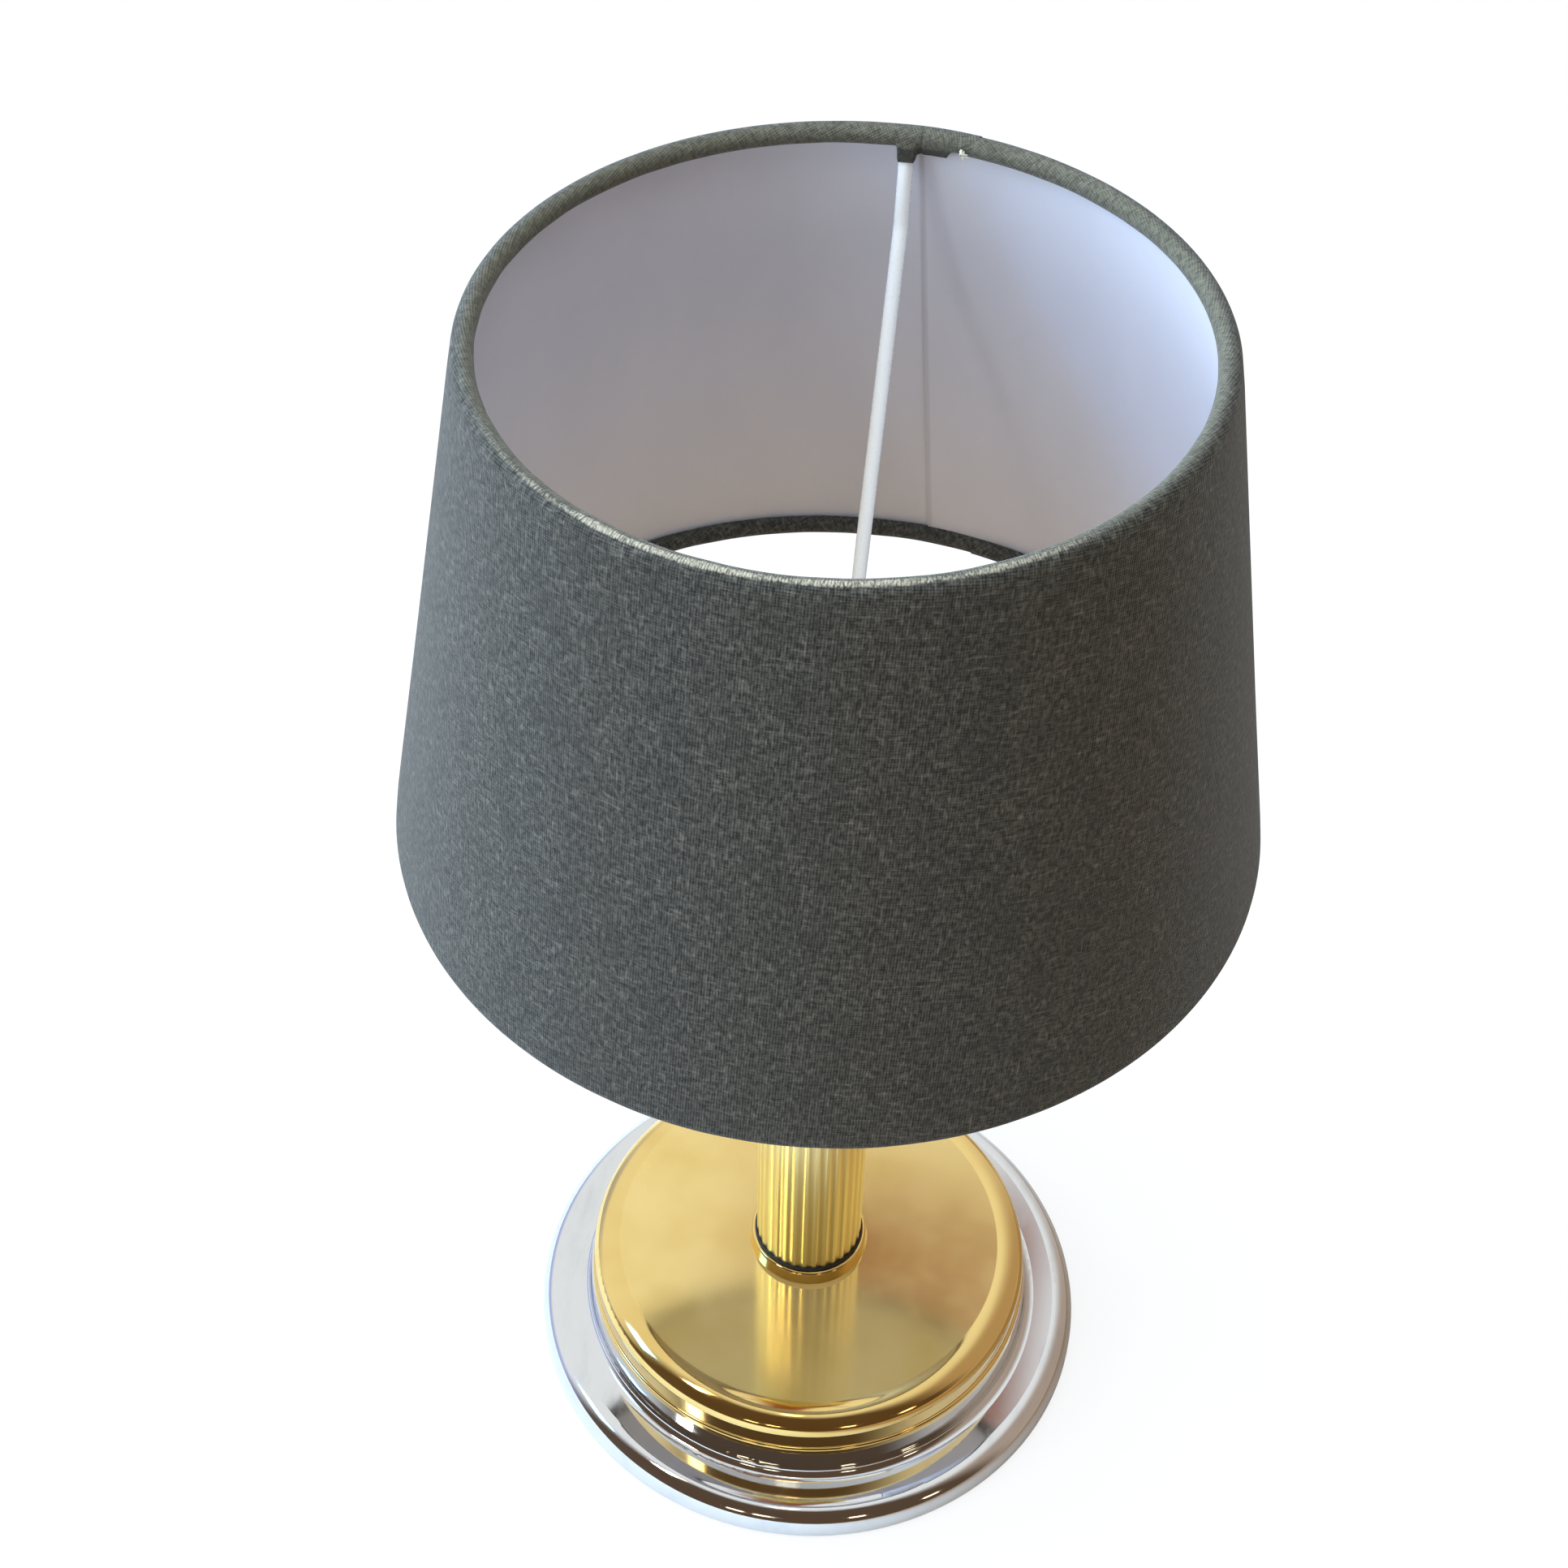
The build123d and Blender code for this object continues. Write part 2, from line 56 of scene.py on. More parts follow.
# The shade's frame and cloth, as the CAD nodes give them
cloth_low, cloth_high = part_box("shade_fabric")
bottom_low, bottom_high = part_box("bottom_ring")
top_low, top_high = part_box("top_ring")
wire_radius = (bottom_high.z - bottom_low.z) / 2
bottom_centre = Vector((bottom_high.x - wire_radius, 0, bottom_low.z + wire_radius))
top_centre = Vector((top_high.x - wire_radius, 0, top_low.z + wire_radius))
hem_radius = cloth_high.x - bottom_centre.x
slant = (top_centre - bottom_centre).normalized()
outward = Vector((slant.z, 0, -slant.x))
wall_length = (top_centre - bottom_centre).length
cone_share = -slant.x                  # sine of the half angle of the shade's cone
arm_azimuths = (90.0, 210.0, 330.0)

# The cloth, rolled round the two ring wires, and its seam
cloth_thickness = 0.42 * MM
roll_end = 292.0                       # degrees that the cloth goes round a wire
seam_azimuth = 78.0                    # the end that lies outside, at the back
seam_skew = 2.6                        # degrees that the seam leans inside the top hem
seam_rise = 0.6 * MM
seam_lap = 6.5                         # degrees that one end of the cloth lies on the other
seam_ease = 10.0                       # degrees over which a lapped end comes back to the wall
seam_reach = 12.0                      # degrees on either side of the seam where the hem follows its lean
lean_start = 1.2                       # the share, as cloth_point counts it, where that lean starts
hem_seam_share = 0.5                   # of the seam's rise, where the cloth goes round a wire
notch_cut = 82.0                       # degrees of the hem that are cut away at an arm
notch_half_width = 1.3                 # degrees round the shade
notch_ease = 1.0                       # degrees round the shade

# Swells that keep the cloth from looking machined
fine_swell = 0.12 * MM
fine_swell_length = 9 * MM
broad_swell = 0.1 * MM
broad_swell_length = 24 * MM
wall_swell = 0.16 * MM
wall_swell_length = 55 * MM
swell_onset = 3                        # a hem's swells are full a third of the way round the wire
wall_onset = 12                        # the wall's swells are full a twentieth of the way up
wall_least = 0.4                       # where that onset starts from, at a hem

# Beside the first arm the hem's inner end has come loose and hangs straight
loose_from, loose_to = 80.4, 92.2
loose_ease = 0.9                       # degrees
loose_leaves = 192.0                   # degrees round the wire where the loose end leaves it
loose_length = 2.9 * MM
loose_lean = 0.17                      # outwards, as a share of the way down
cover_from, cover_to = 87.9, 91.9      # over the arm itself the loose end is longer and stands off
cover_length = 4.3 * MM
cover_leaves = 180.0
cover_lean = -0.33                     # towards the lamp's axis, as a share of the way down
slit_azimuth = 87.2                    # a short slit in the hem
slit_half_width = 0.45                 # degrees
slit_ease = 0.4                        # degrees
slit_depth = 0.3 * MM
slit_start = 0.6                       # in thirds of the way round the wire

# The lining
lining_end = 86.6                      # the end that lies inside, beside the first arm
lining_skew = 2.3                      # degrees that this end leans from foot to top
lining_set = 0.53 * MM                 # from the cloth's outside in to the lining
lining_thickness = 0.55 * MM
ring_margin = 1.1 * MM                 # the lining stops this far from the middle of each wire


# Selecting, modifiers and finishing

def only(obj):
    """Selects one object alone and makes it the active one."""
    bpy.ops.object.select_all(action="DESELECT")
    obj.select_set(True)
    bpy.context.view_layer.objects.active = obj


def modified(obj, kind, **settings):
    """Adds a modifier with its settings and applies it."""
    only(obj)
    modifier = obj.modifiers.new(kind.lower(), kind)
    for name, value in settings.items():
        setattr(modifier, name, value)
    bpy.ops.object.modifier_apply(modifier=modifier.name)


def settled(obj):
    """Puts the object's place, turn and size into its mesh, so that its origin is the frame's."""
    only(obj)
    bpy.ops.object.transform_apply(location=True, rotation=True, scale=True)


def smoothed(obj, angle=40.0):
    """Shades a mesh smooth, except across edges that are sharper than an angle in degrees."""
    only(obj)
    bpy.ops.object.shade_smooth_by_angle(angle=radians(angle))


def dressed(obj, material, body):
    """Gives a finished piece its material and the body that it rides on."""
    obj.data.materials.clear()
    obj.data.materials.append(material)
    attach(obj, body)
    return obj


# Shader arithmetic

class Field:
    """A number that varies over a surface. Plain arithmetic on it adds the maths nodes."""

    def __init__(self, graph, socket):
        self.graph = graph
        self.socket = socket

    def __add__(self, other):
        return self.graph.maths("ADD", self, other)

    def __sub__(self, other):
        return self.graph.maths("SUBTRACT", self, other)

    def __rsub__(self, other):
        return self.graph.maths("SUBTRACT", other, self)

    def __mul__(self, other):
        return self.graph.maths("MULTIPLY", self, other)

    def __truediv__(self, other):
        return self.graph.maths("DIVIDE", self, other)

    __radd__ = __add__
    __rmul__ = __mul__


class Graph:
    """A tree of shader nodes under construction."""

    def __init__(self, tree):
        self.tree = tree

    def feed(self, socket, value):
        """Sets a socket to a value, or links a field or another node's socket to it."""
        if isinstance(value, Field):
            value = value.socket
        if isinstance(value, bpy.types.NodeSocket):
            self.tree.links.new(value, socket)
        else:
            socket.default_value = value

    def node(self, kind, settings=None, sockets=None):
        """Adds a node of a type, with its settings first and then its sockets."""
        node = self.tree.nodes.new("ShaderNode" + kind)
        for name, value in (settings or {}).items():
            setattr(node, name, value)
        for name, value in (sockets or {}).items():
            self.feed(node.inputs[name], value)
        return node

    def field(self, kind, settings=None, sockets=None, output=0):
        return Field(self, self.node(kind, settings, sockets).outputs[output])

    def maths(self, operation, *values):
        """Adds a maths node and gives its result as a field."""
        return self.field("Math", {"operation": operation}, dict(enumerate(values)))

    def rise(self, value, low, high):
        """0 up to low, 1 from high on, and a smooth rise between. It falls where high is the smaller."""
        sockets = {"Value": value, "From Min": low, "From Max": high}
        return self.field("MapRange", {"interpolation_type": "SMOOTHSTEP"}, sockets)

    def place(self, output="Object"):
        """Where a point lies, in the coordinates that the output names."""
        return self.node("TexCoord").outputs[output]

    def parts(self, vector):
        """The three parts of a vector as fields."""
        outputs = self.node("SeparateXYZ", None, {"Vector": vector}).outputs
        return [Field(self, socket) for socket in outputs]

    def vector(self, x, y, z):
        return self.node("CombineXYZ", None, {"X": x, "Y": y, "Z": z}).outputs[0]

    def clouds(self, vector, size, detail=2.0, roughness=0.5, stretch=(1, 1, 1)):
        """Soft noise from 0 to 1 with swells of a size in metres, longer along an axis by its stretch."""
        scale = [1 / (size * factor) for factor in stretch]
        placed = self.node("Mapping", None, {"Vector": vector, "Scale": scale}).outputs[0]
        sockets = {"Vector": placed, "Scale": 1.0, "Detail": detail, "Roughness": roughness}
        return self.field("TexNoise", None, sockets)

    def blend(self, share, first, second):
        """The first colour where share is 0 and the second where it is 1."""
        sockets = {0: share, 6: first, 7: second}
        return self.node("Mix", {"data_type": "RGBA"}, sockets).outputs[2]

    def bump(self, height, depth):
        """A normal from a height field of 0 to 1 that is depth metres deep."""
        sockets = {"Height": height, "Distance": depth, "Strength": 1.0}
        return self.node("Bump", None, sockets).outputs["Normal"]


class Finish(Graph):
    """A material with one shader. Its uniform values are given by name, with _ for a space."""

    def __init__(self, name, **uniform):
        self.material = bpy.data.materials.new(name)
        self.material.use_nodes = True
        super().__init__(self.material.node_tree)
        self.shader = self.tree.nodes["Principled BSDF"]
        for socket, value in uniform.items():
            self.shader.inputs[socket.replace("_", " ")].default_value = value

    def surface(self, colour, roughness, normal=None):
        """Feeds the shader and gives the finished material."""
        self.feed(self.shader.inputs["Base Color"], colour)
        self.feed(self.shader.inputs["Roughness"], roughness)
        if normal is not None:
            self.feed(self.shader.inputs["Normal"], normal)
        return self.material


def tint(red, green, blue):
    """A colour as a monitor shows it, 0 to 255, as the light that it stands for."""
    def light(level):
        share = level / 255
        return share / 12.92 if share <= 0.04045 else ((share + 0.055) / 1.055) ** 2.4
    return (light(red), light(green), light(blue), 1.0)


# Finishes of the metal

patchy = (0.4, 0.8)                        # where in a cloud's 0 to 1 a patch starts and is full
broad_patches = (0.35, 0.8)


def polished_brass():
    """Lacquered brass, hardly clouded."""
    clean, tarnished = tint(235, 207, 132), tint(222, 188, 108)
    gloss, smudged = 0.07, 0.05            # roughness, and what a smudge adds to it
    finish = Finish("polished_brass", Metallic=1.0)
    place = finish.place()
    tarnish = finish.clouds(place, size=14 * MM, detail=3.0)
    smudges = finish.clouds(place, size=6 * MM, detail=3.0)
    colour = finish.blend(finish.rise(tarnish, *patchy), clean, tarnished)
    return finish.surface(colour, gloss + smudged * finish.rise(smudges, *patchy))


def fluted_brass():
    """The column's brass: drawn along its length, and a little darker in its flutes."""
    crest_colour, hollow_colour = tint(255, 242, 176), tint(208, 176, 112)
    crest_depth, hollow_depth = 0.02 * MM, 0.2 * MM
    hollow_weight, tarnish_weight = 0.4, 0.3
    satin, drawn_matt = 0.28, 0.06         # roughness, and what the drawn lines add to it
    finish = Finish("fluted_brass", Metallic=1.0)
    place = finish.place()
    x, y, _ = finish.parts(place)
    radius = finish.maths("SQRT", x * x + y * y)
    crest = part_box("column")[1].x
    hollow = finish.rise(radius, crest - crest_depth, crest - hollow_depth)
    tarnish = finish.clouds(place, size=16 * MM, detail=2.0, stretch=(1, 1, 3))
    drawn = finish.clouds(place, size=0.7 * MM, stretch=(1, 1, 60))
    share = hollow_weight * hollow + tarnish_weight * finish.rise(tarnish, *patchy)
    colour = finish.blend(share, crest_colour, hollow_colour)
    return finish.surface(colour, satin + drawn_matt * drawn)


def satin_and_polished_brass():
    """The foot's cap: a satin disc on top, and polished crown, wall and foot."""
    clean, tarnished = tint(236, 209, 138), tint(226, 196, 120)
    disc_outside, disc_inside = 7.8 * MM, 8.5 * MM     # from the cap's edge in to the satin
    gloss, satin, smudged = 0.06, 0.1, 0.03            # roughness, and what a smudge adds to it
    disc_haze = 0.22                       # the share of the disc's metal that its lacquer hides
    ring_width, ring_depth = 0.3 * MM, 0.0004 * MM
    finish = Finish("foot_brass")
    place = finish.place()
    x, y, _ = finish.parts(place)
    radius = finish.maths("SQRT", x * x + y * y)
    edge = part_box("base_cap")[1].x
    disc = finish.rise(radius, edge - disc_outside, edge - disc_inside)
    rings = finish.clouds(finish.vector(radius, 0.0, 0.0), size=ring_width)
    tarnish = finish.clouds(place, size=22 * MM, detail=2.0)
    smudges = finish.clouds(place, size=9 * MM, detail=3.0)
    colour = finish.blend(finish.rise(tarnish, *broad_patches), clean, tarnished)
    polished = gloss + smudged * smudges
    rough_disc = satin + smudged * finish.rise(smudges, *broad_patches)
    finish.feed(finish.shader.inputs["Metallic"], 1 - disc_haze * disc)
    rough = polished + disc * (rough_disc - polished)
    return finish.surface(colour, rough, finish.bump(rings * disc, ring_depth))


def chrome():
    """Polished chrome with a few wiping marks."""
    clean, wiped = tint(221, 224, 225), tint(210, 213, 215)
    gloss, marked, spotted = 0.05, 0.07, 0.04          # roughness, and what marks and spots add to it
    mark_range, spot_range = (0.45, 0.8), (0.6, 0.8)
    finish = Finish("chrome", Metallic=1.0)
    place = finish.place()
    wiping = finish.clouds(place, size=9 * MM, detail=4.0, roughness=0.65, stretch=(1, 3, 1))
    spots = finish.clouds(place, size=1.2 * MM)
    marks = finish.rise(wiping, *mark_range)
    colour = finish.blend(marks, clean, wiped)
    return finish.surface(colour, gloss + marked * marks + spotted * finish.rise(spots, *spot_range))


def zinc_steel():
    """Zinc-plated steel with small crystals."""
    dark, light = tint(176, 179, 182), tint(206, 208, 206)
    satin, crystal_matt = 0.3, 0.15
    finish = Finish("zinc_steel", Metallic=1.0)
    place = finish.place()
    crystals = finish.clouds(place, size=2.5 * MM, roughness=0.7)
    colour = finish.blend(crystals, dark, light)
    return finish.surface(colour, satin + crystal_matt * crystals, finish.bump(crystals, depth=0.01 * MM))


def spring_steel():
    """Dark drawn wire."""
    dark, light = tint(120, 122, 126), tint(168, 169, 172)
    satin, drawn_matt = 0.28, 0.12
    finish = Finish("spring_steel", Metallic=1.0)
    drawn = finish.clouds(finish.place(), size=0.6 * MM, detail=3.0)
    colour = finish.blend(drawn, dark, light)
    return finish.surface(colour, satin + drawn_matt * drawn, finish.bump(drawn, depth=0.006 * MM))


def cast_iron():
    """Sand-cast iron with rust in patches."""
    hollow, raised, rusty = tint(62, 62, 64), tint(92, 91, 90), tint(110, 72, 48)
    rust_range, rust_strength = (0.55, 0.8), 0.5
    matt, sand_matt = 0.62, 0.2
    finish = Finish("cast_iron", Metallic=0.6)
    place = finish.place()
    sand = finish.clouds(place, size=0.9 * MM, detail=4.0, roughness=0.7)
    rust = finish.rise(finish.clouds(place, size=12 * MM, detail=3.0), *rust_range)
    colour = finish.blend(rust * rust_strength, finish.blend(sand, hollow, raised), rusty)
    return finish.surface(colour, matt + sand_matt * sand, finish.bump(sand, depth=0.15 * MM))


def white_coat():
    """The gloss white coating on the shade's wire, thick enough to look soft."""
    clean, dusty = tint(249, 249, 244), tint(236, 234, 226)
    gloss, dust_matt, dust_range = 0.22, 0.1, (0.5, 0.8)
    finish = Finish("white_coat", Coat_Weight=0.5, Coat_Roughness=0.08)
    place = finish.place()
    swells = finish.clouds(place, size=2.5 * MM)
    dust = finish.clouds(place, size=0.7 * MM, detail=3.0)
    colour = finish.blend(finish.rise(dust, *dust_range), clean, dusty)
    return finish.surface(colour, gloss + dust_matt * dust, finish.bump(swells, depth=0.04 * MM))


def black_rubber():
    """Black rubber with some dust on it."""
    clean, dusty = tint(20, 19, 18), tint(44, 42, 38)
    satin, dust_matt, dust_range = 0.5, 0.2, (0.5, 0.85)
    finish = Finish("black_rubber")
    dust = finish.clouds(finish.place(), size=0.8 * MM, detail=4.0)
    colour = finish.blend(finish.rise(dust, *dust_range), clean, dusty)
    return finish.surface(colour, satin + dust_matt * dust, finish.bump(dust, depth=0.02 * MM))


# Finishes of the candle, the felt and the shade

thread_pitch = 0.58 * MM
thread_swell = 0.62 * MM                   # length across of a thread's thick and thin places
cool_sheen = (0.82, 0.93, 1.0, 1.0)


def wax():
    """Candle wax, a little scuffed, with light in its depth."""
    fresh, yellowed = tint(243, 238, 224), tint(234, 226, 206)
    satin, scuff_matt = 0.38, 0.15
    finish = Finish("wax", Subsurface_Weight=0.35, Subsurface_Scale=4 * MM)
    place = finish.place()
    cloud = finish.clouds(place, size=9 * MM, detail=3.0)
    scuffs = finish.clouds(place, size=1.5 * MM, detail=3.0, stretch=(1, 1, 3))
    colour = finish.blend(cloud, fresh, yellowed)
    return finish.surface(colour, satin + scuff_matt * scuffs, finish.bump(scuffs, depth=0.03 * MM))


def cotton():
    """Undyed cotton in fine upright threads, for the wick and for the cut threads of the hem."""
    hollow_colour, raised_colour = tint(206, 198, 178), tint(238, 232, 214)
    matt, thread_matt = 0.85, 0.1
    finish = Finish("wick_cotton")
    threads = finish.clouds(finish.place(), size=0.22 * MM, stretch=(1, 1, 3))
    colour = finish.blend(threads, hollow_colour, raised_colour)
    return finish.surface(colour, matt + thread_matt * threads, finish.bump(threads, depth=0.06 * MM))


def felt():
    """Dark green felt with its fibres and clumps."""
    dark, light = tint(36, 50, 42), tint(70, 86, 74)
    fibre_share, clump_share = 0.6, 0.4
    matt, fibre_matt = 0.9, 0.08
    finish = Finish("felt", Sheen_Weight=0.4, Sheen_Roughness=0.6)
    place = finish.place()
    fibres = finish.clouds(place, size=0.5 * MM, detail=4.0, roughness=0.7, stretch=(2, 1, 1))
    clumps = finish.clouds(place, size=4 * MM, detail=3.0)
    colour = finish.blend(fibres * fibre_share + clumps * clump_share, dark, light)
    return finish.surface(colour, matt + fibre_matt * fibres, finish.bump(fibres, depth=0.2 * MM))


def linen():
    """Charcoal cloth. Its threads follow the flat cut, which the UV map holds in metres. Inside the top hem
    it is painted paler and greener where light falls, and its crest carries a painted cream highlight."""
    finish = Finish("charcoal_linen", Sheen_Weight=0.24, Sheen_Roughness=0.35, Sheen_Tint=cool_sheen)
    cut = finish.place("UV")
    across, along, _ = finish.parts(cut)
    long_warp, long_weft = (1, 3.4, 1), (3.4, 1, 1)
    warp_share, weft_share, weave_share = 0.46, 0.4, 0.14              # of what shows as thread
    weave_height, warp_height, weft_height, fuzz_height = 0.5, 0.3, 0.2, 0.8
    matt, thread_matt = 0.8, 0.12
    turn = pi / thread_pitch
    weave = finish.maths("SINE", across * turn) * finish.maths("SINE", along * turn)
    weave = finish.maths("ABSOLUTE", weave)
    warp = finish.clouds(cut, size=thread_swell, stretch=long_warp)
    weft = finish.clouds(cut, size=thread_swell, stretch=long_weft)
    thread = warp_share * warp + weft_share * weft + weave_share * weave
    colour = flecked_threads(finish, cut, thread)
    colour, crest_highlight, fuzz = top_hem_colour(finish, cut, thread, colour)
    # the fuzz stands up where the crest's painted highlight lies
    height = weave_height * weave + warp_height * warp + weft_height * weft + fuzz_height * crest_highlight * fuzz
    return finish.surface(colour, matt + thread_matt * thread, finish.bump(height, depth=0.2 * MM))


def flecked_threads(finish, cut, thread):
    """The wall's colour: dark threads with paler slubs along and across, dark gaps and faint patches."""
    dark, light = tint(28, 29, 25), tint(82, 82, 74)
    fleck, gap, patch = tint(131, 129, 120), tint(16, 16, 14), tint(38, 38, 34)
    thread_range, patch_range = (0.34, 0.62), (0.35, 0.7)
    fleck_range, gap_range = (0.5, 0.82), (0.5, 0.28)
    slub_weight, bar_weight, gap_weight, patch_weight = 0.42, 0.38, 0.6, 0.28
    slubs = finish.rise(finish.clouds(cut, size=0.8 * MM, detail=1.0, stretch=(1, 3.5, 1)), *fleck_range)
    bars = finish.rise(finish.clouds(cut, size=0.8 * MM, detail=1.0, stretch=(4, 1, 1)), *fleck_range)
    gaps = finish.rise(finish.clouds(cut, size=0.9 * MM, detail=1.0, stretch=(1, 1.6, 1)), *gap_range)
    patches = finish.clouds(cut, size=7 * MM, detail=3.0, stretch=(1, 2, 1))
    plain = finish.blend(finish.rise(thread, *thread_range), dark, light)
    flecked = finish.blend(slub_weight * slubs + bar_weight * bars, plain, fleck)
    flecked = finish.blend(gap_weight * gaps, flecked, gap)
    return finish.blend(finish.rise(patches, *patch_range) * patch_weight, flecked, patch)


def top_hem_colour(finish, cut, thread, colour):
    """The colour with the top hem's painted light: paler green inside it where light falls, painted shade
    where it is tucked under, and a painted cream highlight on its crest, strongest in front. It also gives
    that highlight and the crest's fuzz, as fields."""
    green_dark, green_light, tucked_shade_colour = tint(68, 68, 57), tint(118, 115, 97), tint(40, 38, 34)
    cream_dark, cream_light = tint(108, 105, 89), tint(184, 176, 156)
    green_weight, tucked_shade_weight = 0.9, 0.75
    inner_side, hem_edge = (0.6 * MM, -0.8 * MM), (-9 * MM, -8 * MM)    # outwards of the wire, and above it
    tucked_shade_range = (-1.2 * MM, -2.2 * MM)  # above the wire
    crest_angle = radians(79)              # up from level, where round the wire the painted highlight lies
    crest_range, fuzz_reach = (0.92, 1.0), 0.1
    green_range, cream_range = (0.3, 0.66), (0.34, 0.62)
    front_start, front_full = 38 * MM, 74 * MM         # in front of the lamp's axis
    # how much of the crest's painted highlight shows at the back
    back_highlight = 0.1
    x, y, z = finish.parts(finish.place())
    past = finish.maths("SQRT", x * x + y * y) - top_centre.x
    above = z - top_centre.z
    inside = finish.rise(past, *inner_side) * finish.rise(above, *hem_edge)
    crest = (past * cos(crest_angle) + above * sin(crest_angle)) / hem_radius
    fuzz = finish.clouds(cut, size=0.42 * MM, detail=3.0, stretch=(1, 2.5, 1))
    front = finish.rise(0 - y, front_start, front_full)
    # a painted cream highlight on the crest, for light catching its fuzz from behind, strongest in front
    crest_highlight = finish.rise(crest + fuzz_reach * (fuzz - 0.5), *crest_range)
    crest_highlight = crest_highlight * (back_highlight + (1 - back_highlight) * front)
    # painted shade where the cloth is tucked under the wire
    tucked_shade = finish.rise(above, *tucked_shade_range) * inside
    # paler green inside the hem: painted light, where it faces up into the light
    green = finish.blend(finish.rise(thread, *green_range), green_dark, green_light)
    colour = finish.blend(inside * green_weight, colour, green)
    colour = finish.blend(tucked_shade * tucked_shade_weight, colour, tucked_shade_colour)
    cream = finish.blend(finish.rise(fuzz, *cream_range), cream_dark, cream_light)
    return finish.blend(crest_highlight, colour, cream), crest_highlight, fuzz


def lining_plastic():
    """The stiff white sheet inside the shade, faintly clouded and pressed, with a painted shadow line along
    its lapped end.
    """
    clear, cloudy, seam_shadow_colour = tint(223, 225, 235), tint(213, 216, 226), tint(112, 110, 112)
    line_lean = 0.0428                     # metres that the line goes to the right for each metre down
    line_place, line_half_width, line_core = 2.6 * MM, 1.1 * MM, 0.2 * MM
    back_start, back_full = 0.0, 20 * MM   # behind the lamp's axis
    seam_shadow_weight = 0.22
    satin, cloud_matt = 0.5, 0.12
    finish = Finish("lining_plastic")
    place = finish.place()
    cloud = finish.clouds(place, size=16 * MM, detail=3.0, stretch=(1, 1, 2.5))
    pressing = finish.clouds(place, size=0.9 * MM)
    colour = finish.blend(cloud, clear, cloudy)
    x, y, z = finish.parts(place)
    beside_end = finish.maths("ABSOLUTE", x + line_lean * (z - cloth_high.z) - line_place)
    # a painted shadow along the edge of the lining's lapped end
    seam_shadow = finish.rise(beside_end, line_half_width, line_core) * finish.rise(y, back_start, back_full)
    colour = finish.blend(seam_shadow * seam_shadow_weight, colour, seam_shadow_colour)
    return finish.surface(colour, satin + cloud_matt * cloud, finish.bump(pressing, depth=0.02 * MM))


# Making turned pieces, rolled sheets and strands

def turned(name, outline, sides=96):
    """A closed shell about the lamp's axis: a ring of edges is extruded and resized from point to point."""
    radius, height = outline[0]
    bpy.ops.mesh.primitive_circle_add(vertices=sides, radius=radius, location=(0, 0, height))
    obj = bpy.context.object
    obj.name = name
    settled(obj)
    bpy.ops.object.mode_set(mode="EDIT")
    bpy.ops.mesh.select_all(action="SELECT")
    for (before, low), (after, high) in zip(outline, outline[1:]):
        bpy.ops.mesh.extrude_edges_move(TRANSFORM_OT_translate={"value": (0, 0, high - low)})
        factor = after / before
        bpy.ops.transform.resize(value=(factor, factor, 1), center_override=(0, 0, 0))
    bpy.ops.object.mode_set(mode="OBJECT")
    return obj


def capped(obj):
    """Closes a turned shell's open rings with a point in the middle and turns its faces outwards."""
    only(obj)
    bpy.ops.object.mode_set(mode="EDIT")
    bpy.ops.mesh.select_all(action="DESELECT")
    bpy.ops.mesh.select_mode(type="EDGE")
    bpy.ops.mesh.select_non_manifold(extend=False)
    bpy.ops.mesh.edge_face_add()
    bpy.ops.mesh.poke()
    bpy.ops.mesh.select_all(action="SELECT")
    bpy.ops.mesh.normals_make_consistent(inside=False)
    bpy.ops.object.mode_set(mode="OBJECT")
    return obj


def rolled_sheet(name, azimuths, shares, place):
    """A sheet rolled about the lamp's axis. It starts as a flat grid, one column for each azimuth and one
    row for each share of its height; place gives each point's new place and its point on the flat cut."""
    columns = len(azimuths) - 1
    rows = len(shares) - 1
    bpy.ops.mesh.primitive_grid_add(x_subdivisions=columns, y_subdivisions=rows, size=1)
    obj = bpy.context.object
    obj.name = name
    flat = []
    for vertex in obj.data.vertices:
        column = round((vertex.co.x + 0.5) * columns)
        row = round((vertex.co.y + 0.5) * rows)
        vertex.co, cut = place(azimuths[column], shares[row])
        flat.append(cut)
    layer = obj.data.uv_layers.active.data
    for loop in obj.data.loops:
        layer[loop.index].uv = flat[loop.vertex_index]
    return obj


def strand(name, radius, points):
    """A round thread from point to point, as a mesh with closed ends."""
    curve = bpy.data.curves.new(name, "CURVE")
    curve.dimensions = "3D"
    curve.bevel_depth = radius
    curve.bevel_resolution = 2
    curve.use_fill_caps = True
    spline = curve.splines.new("POLY")
    spline.points.add(len(points) - 1)
    for knot, point in zip(spline.points, points):
        knot.co = (*point, 1)
    obj = bpy.data.objects.new(name, curve)
    scene.collection.objects.link(obj)
    only(obj)
    bpy.ops.object.convert(target="MESH")
    return bpy.context.object


def joined(objects, name):
    """Several meshes made one, under a name."""
    only(objects[0])
    for obj in objects:
        obj.select_set(True)
    bpy.ops.object.join()
    whole = bpy.context.object
    whole.name = name
    return whole


def round_from(start):
    """Azimuths once round the shade from start, close together beside the arms and in the loose hem."""
    fine_from, fine_span, fine_step = 74, 20, 0.25
    arm_span, arm_step, wide_step = 4.5, 0.4, 1.5
    azimuths = [start]
    while azimuths[-1] < start + 360:
        beside = min(abs((azimuths[-1] - arm + 180) % 360 - 180) for arm in arm_azimuths)
        past = (azimuths[-1] - fine_from) % 360
        step = fine_step if past < fine_span else arm_step if beside < arm_span else wide_step
        azimuths.append(min(azimuths[-1] + step, start + 360))
    return azimuths


def about_axis(section, azimuth):
    """A point of the shade's section, turned about the lamp's axis by degrees."""
    angle = radians(azimuth)
    return Vector((section.x * cos(angle), section.x * sin(angle), section.z))


